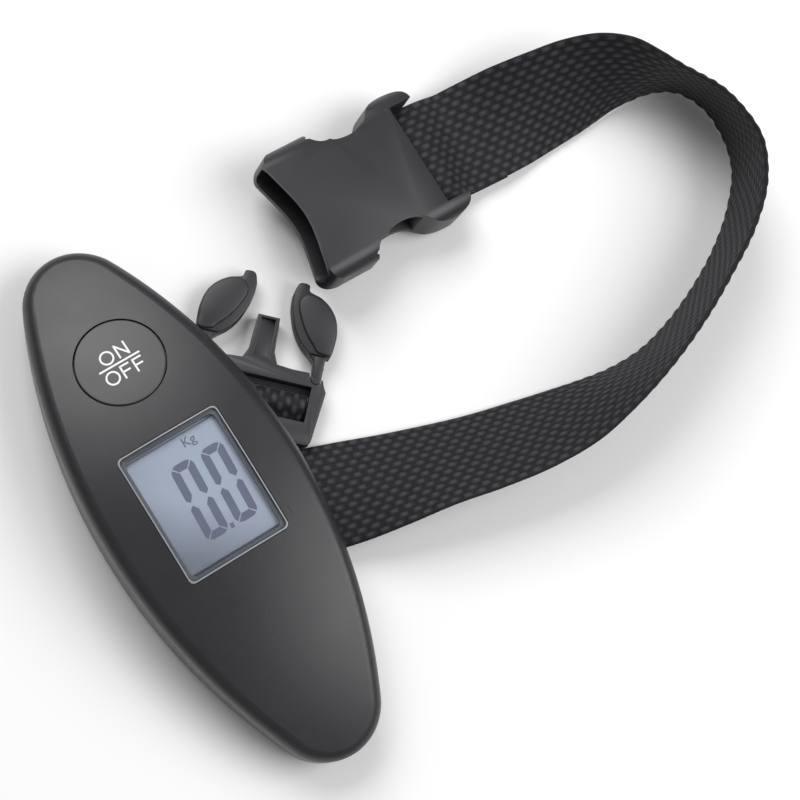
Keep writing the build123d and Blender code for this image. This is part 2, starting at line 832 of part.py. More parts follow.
def gauge_leads():
    """Four wires from the strain gauges to the board."""
    z = beam_top_z + 0.28
    wires = []
    for i in range(4):
        x = 5.4 + 0.9 * i
        y = 7.0 + 2.6 * i
        points = [(2.6, y, z), (x, y, z), (x, y + 2.2, z - 2.6), (x, 26.0 + i, z - 2.6)]
        wires.append(lead(points, 0.25))
    return Compound(children=wires)


def battery_leads():
    """Red and black wires from the cell contacts to the board."""
    wires = []
    for side in (-1, 1):
        x = side * 4.4
        points = [(x, cell_y + 12.6, 8.6), (x, cell_y + 15.5, 11.2)]
        points += [(x, -20.4, 11.6), (x, -17.0, 13.9)]
        wires.append(lead(points, 0.4))
    return Compound(children=wires)


# ---------------------------------------------------------------- write every piece
def main():
    """Build each named piece and write it."""
    contact_arm, contact_side = cell_contacts()
    pieces = {
        "front_shell": front_shell(),
        "back_shell": back_shell(),
        "display_lens": display_lens(),
        "display_glass": display_glass(),
        "display_frame": display_frame(),
        "display_reflector": display_reflector(),
        "rubber_connectors": rubber_connectors(),
        "circuit_board": circuit_board(),
        "controller_blob": controller_blob(),
        "tact_switch": tact_switch(),
        "switch_plunger": switch_plunger(),
        "on_off_button": on_off_button(),
        "load_cell_beam": load_cell_beam(),
        "strain_gauges": strain_gauges(),
        "beam_screws": beam_screws(),
        "stirrup_screw": stirrup_screw(),
        "pull_stirrup": pull_stirrup(),
        "strap_bar": strap_bar(),
        "coin_cell": coin_cell(),
        "battery_cover": battery_cover(),
        "cell_contact_top": contact_arm,
        "cell_contact_side": contact_side,
        "shell_screws": shell_screws(),
        "gauge_leads": gauge_leads(),
        "battery_leads": battery_leads(),
        "buckle_female": buckle_female(),
        "buckle_male_frame": buckle_male_frame(),
        "buckle_arm_right": buckle_arm(1),
        "buckle_arm_left": buckle_arm(-1),
        "webbing_strap": webbing_strap(),
    }
    for name, shape in pieces.items():
        save(shape, name)


main()
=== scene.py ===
from math import cos, pi, radians, sin, sqrt, tan

import bpy
from mathutils import Matrix, Vector


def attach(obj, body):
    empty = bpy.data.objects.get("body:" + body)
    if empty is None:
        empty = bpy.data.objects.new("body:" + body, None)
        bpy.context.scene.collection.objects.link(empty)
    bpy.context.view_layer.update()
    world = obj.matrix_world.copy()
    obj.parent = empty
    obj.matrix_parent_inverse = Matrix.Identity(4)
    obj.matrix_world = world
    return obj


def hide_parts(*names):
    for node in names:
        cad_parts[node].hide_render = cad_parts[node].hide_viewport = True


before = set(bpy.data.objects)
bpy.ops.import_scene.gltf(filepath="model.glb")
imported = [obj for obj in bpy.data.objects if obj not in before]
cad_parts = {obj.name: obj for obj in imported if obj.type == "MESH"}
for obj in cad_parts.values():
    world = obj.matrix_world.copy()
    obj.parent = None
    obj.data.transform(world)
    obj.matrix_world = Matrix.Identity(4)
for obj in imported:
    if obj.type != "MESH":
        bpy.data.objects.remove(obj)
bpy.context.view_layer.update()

bl_info = {
    "name": "Digital luggage scale",
    "version": (1, 0, 0),
    "blender": (4, 5, 0),
    "location": "View3D > Sidebar > Scale",
    "description": "Builds the looks of a luggage scale with a webbing strap on its frame",
    "category": "Object",
}

MM = 0.001
UP = Vector((0, 0, 1))

# size of the webbing, mm
WEB_WIDTH = 25.6
WEB_THICKNESS = 1.5


# ------------------------------------------------------------------ settings a user would change
class StrapSettings(bpy.types.PropertyGroup):
    """Sizes and colours of the webbing."""

    width: bpy.props.FloatProperty(
        name="Width", description="Width of the webbing", default=WEB_WIDTH * MM, unit="LENGTH"
    )
    thickness: bpy.props.FloatProperty(
        name="Thickness",
        description="Thickness of the webbing",
        default=WEB_THICKNESS * MM,
        unit="LENGTH",
    )
    ribs: bpy.props.IntProperty(
        name="Ribs", description="Warp ribs across the webbing", default=15, min=4, max=30
    )
    float_length: bpy.props.FloatProperty(
        name="Float", description="Length of one raised thread", default=1.65 * MM, unit="LENGTH"
    )
    relief: bpy.props.FloatProperty(
        name="Relief", description="Height of the raised threads", default=0.3 * MM, unit="LENGTH"
    )
    colour: bpy.props.FloatVectorProperty(
        name="Colour",
        description="Colour of the yarn",
        default=(0.0145, 0.0138, 0.0175),
        subtype="COLOR",
        min=0,
        max=1,
    )


class CaseSettings(bpy.types.PropertyGroup):
    """Colours and finishes of the moulded parts."""

    case_colour: bpy.props.FloatVectorProperty(
        name="Case",
        description="Colour of the body",
        default=(0.0175, 0.0172, 0.0205),
        subtype="COLOR",
        min=0,
        max=1,
    )
    button_colour: bpy.props.FloatVectorProperty(
        name="Button",
        description="Colour of the power button",
        default=(0.032, 0.0315, 0.035),
        subtype="COLOR",
        min=0,
        max=1,
    )
    buckle_colour: bpy.props.FloatVectorProperty(
        name="Buckle",
        description="Colour of the buckle",
        default=(0.023, 0.023, 0.027),
        subtype="COLOR",
        min=0,
        max=1,
    )
    lettering_colour: bpy.props.FloatVectorProperty(
        name="Lettering",
        description="Colour of the printed words",
        default=(0.86, 0.86, 0.88),
        subtype="COLOR",
        min=0,
        max=1,
    )
    grain: bpy.props.FloatProperty(
        name="Grain", description="Height of the moulded grain", default=0.02 * MM, unit="LENGTH"
    )


class DisplaySettings(bpy.types.PropertyGroup):
    """Colours of the display."""

    panel_colour: bpy.props.FloatVectorProperty(
        name="Panel",
        description="Colour of the unlit display",
        default=(0.66, 0.70, 0.79),
        subtype="COLOR",
        min=0,
        max=1,
    )
    figure_colour: bpy.props.FloatVectorProperty(
        name="Figures",
        description="Colour of the figures",
        default=(0.24, 0.25, 0.34),
        subtype="COLOR",
        min=0,
        max=1,
    )
    figure_height: bpy.props.FloatProperty(
        name="Figure height", description="Height of a digit", default=18.6 * MM, unit="LENGTH"
    )


class StageSettings(bpy.types.PropertyGroup):
    """Floor, lights and camera."""

    floor_colour: bpy.props.FloatVectorProperty(
        name="Floor",
        description="Colour of the floor",
        default=(0.94, 0.94, 0.94),
        subtype="COLOR",
        min=0,
        max=1,
    )
    focal_length: bpy.props.FloatProperty(
        name="Focal length", description="Focal length in millimetres", default=95.6, min=10
    )


# ------------------------------------------------------------------ shader maths
class Value:
    """A socket that can be used in Python arithmetic."""

    def __init__(self, finish, socket):
        self.finish = finish
        self.socket = socket

    def maths(self, operation, first, second):
        """One Math node on two values."""
        values = {0: first, 1: second}
        return self.finish.node("ShaderNodeMath", {"operation": operation}, values)

    def __add__(self, other):
        return self.maths("ADD", self, other)

    def __radd__(self, other):
        return self.maths("ADD", other, self)

    def __sub__(self, other):
        return self.maths("SUBTRACT", self, other)

    def __rsub__(self, other):
        return self.maths("SUBTRACT", other, self)

    def __mul__(self, other):
        return self.maths("MULTIPLY", self, other)

    def __rmul__(self, other):
        return self.maths("MULTIPLY", other, self)

    def clamped(self):
        """The value held between 0 and 1."""
        return self.maths("MINIMUM", self.maths("MAXIMUM", self, 0.0), 1.0)


class Finish:
    """One material and the nodes that make it."""

    def __init__(self, name, view_colour):
        self.material = bpy.data.materials.new(name)
        self.material.use_nodes = True
        self.material.diffuse_color = (*view_colour[:3], 1.0)
        self.tree = self.material.node_tree
        self.tree.nodes.clear()
        self.out = self.tree.nodes.new("ShaderNodeOutputMaterial")

    def node(self, kind, settings=None, inputs=None, output=0):
        """Add a node, set it up, fill or link its sockets, and return one of its outputs."""
        made = self.tree.nodes.new(kind)
        for key, value in (settings or {}).items():
            setattr(made, key, value)
        for key, value in (inputs or {}).items():
            if isinstance(value, Value):
                self.tree.links.new(value.socket, made.inputs[key])
            else:
                made.inputs[key].default_value = value
        return Value(self, made.outputs[output])

    def place(self, scale=(1, 1, 1), source="Object"):
        """Coordinates on the piece, in metres, stretched by scale."""
        here = self.node("ShaderNodeTexCoord", output=source)
        return self.node("ShaderNodeMapping", {}, {"Vector": here, "Scale": scale})

    def noise(self, scale, detail=2.0, rough=0.5, where=None):
        """Noise of a size given in features per metre."""
        inputs = {
            "Vector": where or self.place(),
            "Scale": scale,
            "Detail": detail,
            "Roughness": rough,
        }
        return self.node("ShaderNodeTexNoise", {}, inputs)

    def colours(self, share, first, second):
        """Mix of two colours."""
        inputs = {0: share, 6: (*first, 1.0), 7: (*second, 1.0)}
        return self.node("ShaderNodeMix", {"data_type": "RGBA"}, inputs, output=2)

    def bump(self, height, depth, strength=1.0):
        """Normal for a relief of the given depth in metres."""
        inputs = {"Height": height, "Distance": depth, "Strength": strength}
        return self.node("ShaderNodeBump", {}, inputs)

    def surface(self, **sockets):
        """The main shader, wired to the output."""
        values = {key.replace("_", " "): value for key, value in sockets.items()}
        shader = self.node("ShaderNodeBsdfPrincipled", {}, values)
        self.tree.links.new(shader.socket, self.out.inputs["Surface"])
        return self.material


def tint(colour, factor):
    """A colour made lighter or darker."""
    return tuple(min(1.0, c * factor) for c in colour)


# features per metre in the grain of a moulding, the drawn lines of a metal and a print
GRAIN_CELLS = 5200.0
METAL_CELLS = 900.0
PRINT_CELLS = 600.0


def moulded(name, colour, roughness, grain):
    """Satin moulded plastic with a fine even grain."""
    finish = Finish(name, colour)
    cloud = finish.noise(90.0, 3.0)
    fine = finish.noise(GRAIN_CELLS, 1.0)
    colour_mix = finish.colours(cloud, tint(colour, 0.9), tint(colour, 1.12))
    rough = roughness - 0.05 + 0.1 * cloud
    return finish.surface(
        Base_Color=colour_mix,
        Roughness=rough,
        Normal=finish.bump(fine, grain),
        Specular_IOR_Level=0.5,
    )


def metal(name, colour, roughness, stretch=(1, 12, 1)):
    """Metal with fine drawn lines."""
    finish = Finish(name, colour)
    lines = finish.noise(METAL_CELLS, 2.0, 0.5, finish.place(stretch))
    return finish.surface(
        Base_Color=finish.colours(lines, tint(colour, 0.85), tint(colour, 1.1)),
        Roughness=roughness + 0.12 * lines,
        Metallic=1.0,
        Normal=finish.bump(lines, 0.008 * MM),
    )


def board_finish():
    """Green lacquer with tracks showing faintly through it."""
    green = (0.02, 0.11, 0.05)
    finish = Finish("Board lacquer", green)
    tracks = finish.node(
        "ShaderNodeTexBrick",
        {"offset": 0.5},
        {"Vector": finish.place(), "Scale": 260.0, "Mortar Size": 0.03},
        output="Fac",
    )
    return finish.surface(
        Base_Color=finish.colours(tracks, tint(green, 1.6), green),
        Roughness=0.35 + 0.1 * tracks,
        Normal=finish.bump(tracks, 0.03 * MM),
    )


def striped_rubber():
    """Rubber strip with fine conducting stripes."""
    grey = (0.10, 0.10, 0.11)
    finish = Finish("Striped rubber", grey)
    waves = finish.node(
        "ShaderNodeTexWave", {"bands_direction": "X"}, {"Vector": finish.place(), "Scale": 420.0}
    )
    return finish.surface(
        Base_Color=finish.colours(waves, grey, (0.45, 0.45, 0.47)), Roughness=0.7 + 0.1 * waves
    )


def clear_window():
    """Clear window that shows what lies under it and catches the light."""
    finish = Finish("Clear window", (0.8, 0.85, 0.9))
    smear = finish.noise(140.0, 2.0)
    gloss = finish.node(
        "ShaderNodeBsdfGlossy", {}, {"Color": (1, 1, 1, 1), "Roughness": 0.08 + 0.05 * smear}
    )
    clear = finish.node("ShaderNodeBsdfTransparent", {}, {"Color": (0.93, 0.95, 0.97, 1)})
    edge = finish.node("ShaderNodeFresnel", {}, {"IOR": 1.45})
    both = finish.node("ShaderNodeMixShader", {}, {0: edge * 1.3, 1: clear, 2: gloss})
    finish.tree.links.new(both.socket, finish.out.inputs["Surface"])
    return finish.material


# darker band across the lower left corner of the panel, a painted reflection: the panel is coloured
# lighter where a lamp's reflection in the curved window falls and darker outside it; the band's
# level at the middle of the object, how fast it fades in each direction per metre, how uneven it
# is, and how dark it gets
PAINTED_BAND_START = 1.02
PAINTED_BAND_RISE_ALONG = 62.0
PAINTED_BAND_RISE_ACROSS = 48.0
PAINTED_BAND_CLOUD = 0.25
PAINTED_BAND_SHADE = 0.58


def panel_finish(colour):
    """Unlit liquid crystal panel with a painted reflection: lighter where a lamp reflects in the
    window, darker in a band across its lower left corner.
    """
    finish = Finish("Display panel", colour)
    spot = finish.node("ShaderNodeTexCoord", output="Object")
    across, along = (
        finish.node("ShaderNodeSeparateXYZ", {}, {"Vector": spot}, output=axis) for axis in "XY"
    )
    cloud = finish.noise(60.0, 2.0)
    # painted reflection and shade: mask that is light where the lamp's reflection in the window
    # falls, dark across the lower left corner
    painted_band = PAINTED_BAND_START + along * PAINTED_BAND_RISE_ALONG + across * PAINTED_BAND_RISE_ACROSS + cloud * PAINTED_BAND_CLOUD
    dark = tint(colour, PAINTED_BAND_SHADE)
    light = tint(colour, 1.04)
    return finish.surface(
        Base_Color=finish.colours(painted_band.clamped(), dark, light), Roughness=0.35 + 0.1 * cloud
    )


# features per metre across and along the web
FILAMENTS = (9000.0, 700.0, 1.0)
UNEVEN_DYE = (380.0, 260.0, 1.0)


def webbing_finish(colour):
    """Spun polyester yarn: fine filaments along each thread, soft sheen, uneven dye, and painted
    shade in the hollows between threads with painted highlights on their crowns.
    """
    finish = Finish("Black webbing", colour)
    filaments = finish.noise(1.0, 2.0, 0.6, finish.place(FILAMENTS, "UV"))
    cloud = finish.noise(1.0, 3.0, 0.5, finish.place(UNEVEN_DYE, "UV"))
    relief = finish.node("ShaderNodeAttribute", {"attribute_name": "relief"}, output="Fac")
    # painted shade and highlight: the colour follows the relief, darkest in the hollows between
    # threads and lightest on their crowns
    filaments_and_painted_shade = filaments * 0.15 + relief * relief * 0.85
    # near black for the painted shade in the hollows, light for the painted highlight on the crowns
    dark = tint(colour, 0.05)
    light = tint(colour, 3.6)
    return finish.surface(
        Base_Color=finish.colours(filaments_and_painted_shade * 0.85 + cloud * 0.15, dark, light),
        Roughness=0.72 - 0.14 * relief,
        Normal=finish.bump(filaments, 0.05 * MM, 0.8),
        Sheen_Weight=0.1,
        Sheen_Roughness=0.4,
        Specular_IOR_Level=0.3,
    )


def plain(name, colour, roughness):
    """Simple moulded or printed finish with slight variation."""
    finish = Finish(name, colour)
    cloud = finish.noise(PRINT_CELLS, 2.0)
    return finish.surface(
        Base_Color=finish.colours(cloud, tint(colour, 0.92), tint(colour, 1.06)),
        Roughness=roughness + 0.08 * cloud,
        Normal=finish.bump(cloud, 0.01 * MM),
    )


# ------------------------------------------------------------------ modelling helpers
def deselect():
    """Nothing selected and nothing in edit mode."""
    if bpy.context.object and bpy.context.object.mode != "OBJECT":
        bpy.ops.object.mode_set(mode="OBJECT")
    bpy.ops.object.select_all(action="DESELECT")


def only(piece):
    """Select one piece alone and make it active."""
    deselect()
    piece.select_set(True)
    bpy.context.view_layer.objects.active = piece


def finished(piece, name, material, body, replaced=()):
    """Name a piece, give it its finish and its body."""
    piece.name = name
    piece.data.name = name
    piece.data.materials.clear()
    piece.data.materials.append(material)
    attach(piece, body)
    if replaced:
        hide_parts(*replaced)
    return piece


def settle(piece):
    """Put the object's place into its mesh."""
    only(piece)
    bpy.ops.object.transform_apply(location=True, rotation=True, scale=True)


def join(pieces):
    """Join separate objects into the first of them."""
    deselect()
    for piece in pieces:
        piece.select_set(True)
    bpy.context.view_layer.objects.active = pieces[0]
    bpy.ops.object.join()
    return pieces[0]


def apply_modifier(piece, kind, **settings):
    """Add a modifier and apply it."""
    only(piece)
    modifier = piece.modifiers.new(kind.title(), kind)
    for key, value in settings.items():
        setattr(modifier, key, value)
    bpy.ops.object.modifier_apply(modifier=modifier.name)


def smooth_by_angle(piece, degrees=30.0):
    """Shade smooth, keeping edges sharper than the angle."""
    only(piece)
    bpy.ops.object.shade_smooth_by_angle(angle=radians(degrees))


def raised_block(corners, rise):
    """A flat face through the given corners, drawn straight up into a block, mm."""
    deselect()
    bpy.ops.mesh.primitive_circle_add(vertices=len(corners), radius=MM, fill_type="NGON")
    block = bpy.context.object
    for vertex, corner in zip(block.data.vertices, corners):
        vertex.co = corner * MM
    bpy.ops.object.mode_set(mode="EDIT")
    bpy.ops.mesh.select_all(action="SELECT")
    bpy.ops.mesh.extrude_region_move(TRANSFORM_OT_translate={"value": (0, 0, rise * MM)})
    bpy.ops.mesh.select_all(action="SELECT")
    bpy.ops.mesh.normals_make_consistent(inside=False)
    bpy.ops.object.mode_set(mode="OBJECT")
    return block


# gap within which points of a CAD node are merged, and angle below which faces are, degrees
MERGE_GAP = 0.002 * MM
FLAT_ANGLE = 0.8
EDGE_ANGLE = 30.0
EDGE_SEGMENTS = 3


def refined_copy(node, bevel, cutters):
    """A copy of a CAD node with its doubles merged, cut by the cutters, and its edges rounded."""
    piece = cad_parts[node].copy()
    piece.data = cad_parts[node].data.copy()
    bpy.context.scene.collection.objects.link(piece)
    for key in list(piece.keys()):
        del piece[key]
    piece.parent = None
    only(piece)
    bpy.ops.object.mode_set(mode="EDIT")
    bpy.ops.mesh.select_all(action="SELECT")
    bpy.ops.mesh.remove_doubles(threshold=MERGE_GAP)
    bpy.ops.mesh.dissolve_limited(angle_limit=radians(FLAT_ANGLE))
    bpy.ops.object.mode_set(mode="OBJECT")
    for cutter in cutters:
        apply_modifier(piece, "BOOLEAN", operation="DIFFERENCE", object=cutter)
        bpy.data.objects.remove(cutter)
    apply_modifier(
        piece,
        "BEVEL",
        width=bevel,
        segments=EDGE_SEGMENTS,
        limit_method="ANGLE",
        angle_limit=radians(EDGE_ANGLE),
        miter_outer="MITER_ARC",
    )
    smooth_by_angle(piece, EDGE_ANGLE)
    return piece


# ------------------------------------------------------------------ route of the strap, in mm
# the table, and the half turn round the strap bar with the web folded at an angle, degrees
TABLE_GAP = 0.15
BAR_POINT = Vector((0.0, -3.0, 3.7))
BAR_SKEW = 10.0
FOLD_ANGLE = 19.0
FOLD_RADIUS = 1.75 + 0.3 + WEB_THICKNESS / 2
FOLD_OFFSET = -1.0
FOLD_STEPS = 10

# centre x, centre y, bank of the lifted outer edge in degrees, height above the table
TURN_STATIONS = [
    (9.0, -7.2, 0, 0.0), (18.0, -10.0, 3, 0.0), (30.9, -14.3, 13, 0.0), (41.5, -17.4, 25, 0.0),
    (52.4, -20.2, 34, 0.0), (63.5, -23.2, 38, 0.0), (75.6, -25.7, 42, 0.0),
    (87.3, -27.1, 50, 0.0), (95.9, -27.1, 60, 0.0), (104.0, -26.6, 69, 0.0),
    (113.6, -24.9, 77, 0.0), (122.5, -22.0, 81, 0.0), (133.1, -17.3, 84, 0.0),
    (144.0, -11.2, 85, 0.0), (153.0, -3.8, 87, 0.0), (158.8, 4.6, 92, 0.0),
    (160.2, 14.3, 98, 0.0), (159.0, 21.6, 101, 0.0), (156.2, 26.6, 101, 0.0),
    (151.8, 30.8, 94, 0.0), (147.6, 33.9, 82, 0.0), (143.2, 37.0, 67, 0.0),
    (137.6, 39.6, 52, 0.0), (131.1, 41.2, 41, 0.0), (123.1, 42.2, 32, 0.0),
    (117.6, 42.8, 24, 0.4), (113.2, 43.3, 16, 1.1), (109.0, 43.7, 9, 1.65),
    (104.6, 44.1, 5, 1.8), (100.6, 44.4, 3, 1.9), (97.3, 44.7, 2, 3.4),
]
TAIL_STATIONS = [
    (109.0, 43.7, 9, 0.0), (104.6, 44.1, 5, 0.0), (100.6, 44.4, 3, 0.0), (97.3, 44.7, 2, 0.1),
]
SHORT_LEG = [(2.6, -1.0, 6.5), (5.6, 0.8, 6.35), (9.6, 3.5, 5.2), (13.6, 6.3, 3.5)]

# receiving half: its tilt, its place, its directions, and its bar along and above its middle
FEMALE_TILT = radians(9.5)
FEMALE_ORIGIN = Vector((93.2, 44.8, 6.05))
FEMALE_X = Vector((-cos(FEMALE_TILT), 0, sin(FEMALE_TILT)))
FEMALE_Y = Vector((0, -1, 0))
FEMALE_Z = Vector((sin(FEMALE_TILT), 0, cos(FEMALE_TILT)))
FEMALE_BAR = (2.0, -1.5)
FEMALE_LOOP_RADIUS = 1.4 + 0.3 + WEB_THICKNESS / 2 + 0.2

# inserted half: its heading, its place, its directions, and the web's loop round its bar
MALE_HEADING = radians(46.1)
MALE_ORIGIN = Vector((34.7, 26.9, 0.3))
MALE_X = Vector((cos(MALE_HEADING), sin(MALE_HEADING), 0))
MALE_Y = Vector((-sin(MALE_HEADING), cos(MALE_HEADING), 0))
MALE_BAR_S = -14.2
MALE_LOOP_W = 1.7
MALE_LOOP_RADIUS = 2.3


def banked_sections(stations):
    """Cross sections of the web standing on its inner edge."""
    centres = []
    for x, y, bank, lift in stations:
        b = radians(bank)
        rise = WEB_WIDTH / 2 * abs(sin(b)) + WEB_THICKNESS / 2 * abs(cos(b))
        centres.append(Vector((x, y, TABLE_GAP + rise + lift)))
    sections = []
    for i, station in enumerate(stations):
        ahead = centres[min(i + 1, len(centres) - 1)] - centres[max(i - 1, 0)]
        plan = Vector((ahead.x, ahead.y, 0)).normalized()
        outward = Vector((plan.y, -plan.x, 0))
        b = radians(station[2])
        sections.append((centres[i], outward * cos(b) + UP * sin(b), WEB_WIDTH / 2))
    return sections


def fold_sections():
    """Cross sections of the half turn round the strap bar."""
    skew = radians(BAR_SKEW)
    forward = Vector((cos(skew), sin(skew), 0))
    along_bar = Vector((-sin(skew), cos(skew), 0))
    half = WEB_WIDTH / 2 / cos(radians(FOLD_ANGLE))
    shift = pi * FOLD_RADIUS * tan(radians(FOLD_ANGLE)) / 2
    sections = []
    for i in range(FOLD_STEPS + 1):
        turn = pi * i / FOLD_STEPS
        radial = UP * -cos(turn) - forward * sin(turn)
        slide = FOLD_OFFSET + shift * (2 * i / FOLD_STEPS - 1)
        sections.append((BAR_POINT + along_bar * slide + radial * FOLD_RADIUS, along_bar, half))
    return sections


def leg_sections(points):
    """Cross sections of the web through places in space, level across its width."""
    centres = [Vector(p) for p in points]
    sections = []
    for i, centre in enumerate(centres):
        ahead = centres[min(i + 1, len(centres) - 1)] - centres[max(i - 1, 0)]
        sections.append((centre, ahead.cross(UP).normalized(), WEB_WIDTH / 2))
    return sections


def buckle_sections(origin, along, across, upward, points):
    """Cross sections of the web round a bar of a buckle."""
    return [(origin + along * u + upward * w, across, WEB_WIDTH / 2) for u, w in points]


def arc_points(u, w, radius, start, end, steps):
    """Places on an arc about a point, from one angle in degrees to another."""
    angles = [radians(start + (end - start) * i / steps) for i in range(steps + 1)]
    return [(u + radius * cos(a), w + radius * sin(a)) for a in angles]


def web_route():
    """All cross sections of the strap from its sewn tail to its other end, turned one way."""
    female_points = arc_points(*FEMALE_BAR, FEMALE_LOOP_RADIUS, -90, 90, 8)
    male_points = [(-24.9, 1.35), (-22.0, 1.15), (-19.6, 1.15), (-17.9, 1.5), (-17.0, 2.3)]
    male_points += arc_points(MALE_BAR_S, MALE_LOOP_W, MALE_LOOP_RADIUS, 150, 0, 5)
    male_points.append((MALE_BAR_S + MALE_LOOP_RADIUS, 0.9))
    route = banked_sections(TAIL_STATIONS)
    route += buckle_sections(FEMALE_ORIGIN, FEMALE_X, FEMALE_Y, FEMALE_Z, female_points)
    route += banked_sections(TURN_STATIONS)[::-1]
    route += fold_sections()
    route += leg_sections(SHORT_LEG)
    route += buckle_sections(MALE_ORIGIN, MALE_X, MALE_Y, UP, male_points)
    turned = []
    last = None
    for centre, across, half in route:
        if last is not None and across.dot(last) < 0:
            across = -across
        last = across
        turned.append((centre, across, half))
    return turned


class WebCurve:
    """Smooth curve of the web's middle line, its width direction and its half width."""

    def __init__(self, sections):
        self.knots = [0.0]
        for before, after in zip(sections, sections[1:]):
            self.knots.append(self.knots[-1] + (after[0] - before[0]).length)
        self.values = [(*s[0], *s[1], s[2]) for s in sections]
        self.length = self.knots[-1]
        self.slopes = []
        last = len(self.values) - 1
        for i in range(last + 1):
            before = max(i - 1, 0)
            after = min(i + 1, last)
            span_before = self.knots[i] - self.knots[before]
            span_after = self.knots[after] - self.knots[i]
            slope = []
            for a, b, c in zip(self.values[before], self.values[i], self.values[after]):
                rate_before = (b - a) / span_before if span_before else (c - b) / span_after
                rate_after = (c - b) / span_after if span_after else rate_before
                total = span_before + span_after
                slope.append((rate_before * span_after + rate_after * span_before) / total)
            self.slopes.append(slope)

    def at(self, place):
        """Centre, unit width direction and half width at a distance along the web."""
        place = min(max(place, 0.0), self.length)
        i = 0
        while i < len(self.knots) - 2 and self.knots[i + 1] < place:
            i += 1
        span = self.knots[i + 1] - self.knots[i]
        t = (place - self.knots[i]) / span
        h00 = 2 * t**3 - 3 * t**2 + 1
        h10 = (t**3 - 2 * t**2 + t) * span
        h01 = 3 * t**2 - 2 * t**3
        h11 = (t**3 - t**2) * span
        mixed = []
        for p, m, q, n in zip(
            self.values[i], self.slopes[i], self.values[i + 1], self.slopes[i + 1]
        ):
            mixed.append(h00 * p + h10 * m + h01 * q + h11 * n)
        return Vector(mixed[:3]), Vector(mixed[3:6]).normalized(), mixed[6]

    def frame_at(self, place):
        """Centre, width direction, face normal and half width."""
        centre, across, half = self.at(place)
        step = 0.05
        ahead = self.at(place + step)[0] - self.at(place - step)[0]
        normal = ahead.cross(across).normalized()
        return centre, across, normal, half


# weave: share of the repeat in which a rib's thread shows and height of the weft between,
# mesh columns in a rib and length of a mesh row, and how the web thins to its edges, mm
WARP_SHARE = 0.74
WEFT_HEIGHT = 0.2
COLUMNS_PER_RIB = 4
ROW_LENGTH = 0.45
EDGE_ROUNDING = 1.1
EDGE_THINNEST = 0.35


def weave_height(u, v, ribs, float_length):
    """Relief of the weave, 0 in a hollow and 1 on a thread, at a share of the width and a place."""
    rib = min(int(u * ribs), ribs - 1)
    inside = u * ribs - rib
    phase = (v / (2 * float_length) + 0.5 * (rib % 2)) % 1.0
    crown = sqrt(max(0.0, sin(pi * inside)))
    if phase < WARP_SHARE:
        return crown * sqrt(max(0.0, sin(pi * phase / WARP_SHARE)))
    return WEFT_HEIGHT * crown * sin(pi * (phase - WARP_SHARE) / (1 - WARP_SHARE))


class SCALE_OT_webbing(bpy.types.Operator):
    """Weave the strap along its route"""

    bl_idname = "luggage_scale.webbing"
    bl_label = "Webbing strap"

    def execute(self, context):
        settings = context.scene.scale_strap
        curve = WebCurve(web_route())
        columns = settings.ribs * COLUMNS_PER_RIB
        rows = int(curve.length / ROW_LENGTH)
        thread = settings.float_length / MM
        relief = settings.relief / MM
        core = settings.thickness / MM / 2 - relief
        widening = settings.width / MM / WEB_WIDTH
        vertices = []
        heights = []
        places = []
        for r in range(rows + 1):
            place = curve.length * r / rows
            centre, across, normal, half = curve.frame_at(place)
            half *= widening
            for face in (1, -1):
                for c in range(columns + 1):
                    u = c / columns
                    side = u if face == 1 else 1 - u
                    turned = place + (thread if face == -1 else 0)
                    height = weave_height(side, turned, settings.ribs, thread)
                    edge = min(side, 1 - side) * 2 * half
                    thin = min(1.0, EDGE_THINNEST + edge / EDGE_ROUNDING)
                    lift = (core + relief * height) * sqrt(thin)
                    point = centre + across * ((2 * side - 1) * half)
                    vertices.append((point + normal * (face * lift)) * MM)
                    heights.append(height)
                    places.append((side * settings.width, place * MM))
        ring = 2 * (columns + 1)
        faces = []
        for r in range(rows):
            for c in range(ring):
                d = (c + 1) % ring
                faces.append((r * ring + c, r * ring + d, (r + 1) * ring + d, (r + 1) * ring + c))
        last = rows * ring
        for c in range(columns):
            opposite = ring - 1 - c
            faces.append((c, opposite, opposite - 1, c + 1))
            faces.append((last + c, last + c + 1, last + opposite - 1, last + opposite))
        mesh = bpy.data.meshes.new("Strap")
        mesh.from_pydata(vertices, [], faces)
        relief_layer = mesh.attributes.new("relief", "FLOAT", "POINT")
        relief_layer.data.foreach_set("value", heights)
        uv = mesh.uv_layers.new(name="Web")
        for loop in mesh.loops:
            uv.data[loop.index].uv = places[loop.vertex_index]
        piece = bpy.data.objects.new("Strap", mesh)
        context.scene.collection.objects.link(piece)
        only(piece)
        bpy.ops.object.mode_set(mode="EDIT")
        bpy.ops.mesh.select_all(action="SELECT")
        bpy.ops.mesh.normals_make_consistent(inside=False)
        bpy.ops.object.mode_set(mode="OBJECT")
        bpy.ops.object.shade_smooth()
        finished(
            piece,
            "strap_webbing",
            webbing_finish(settings.colour),
            "strap_set",
            ["webbing_strap"],
        )
        return {"FINISHED"}


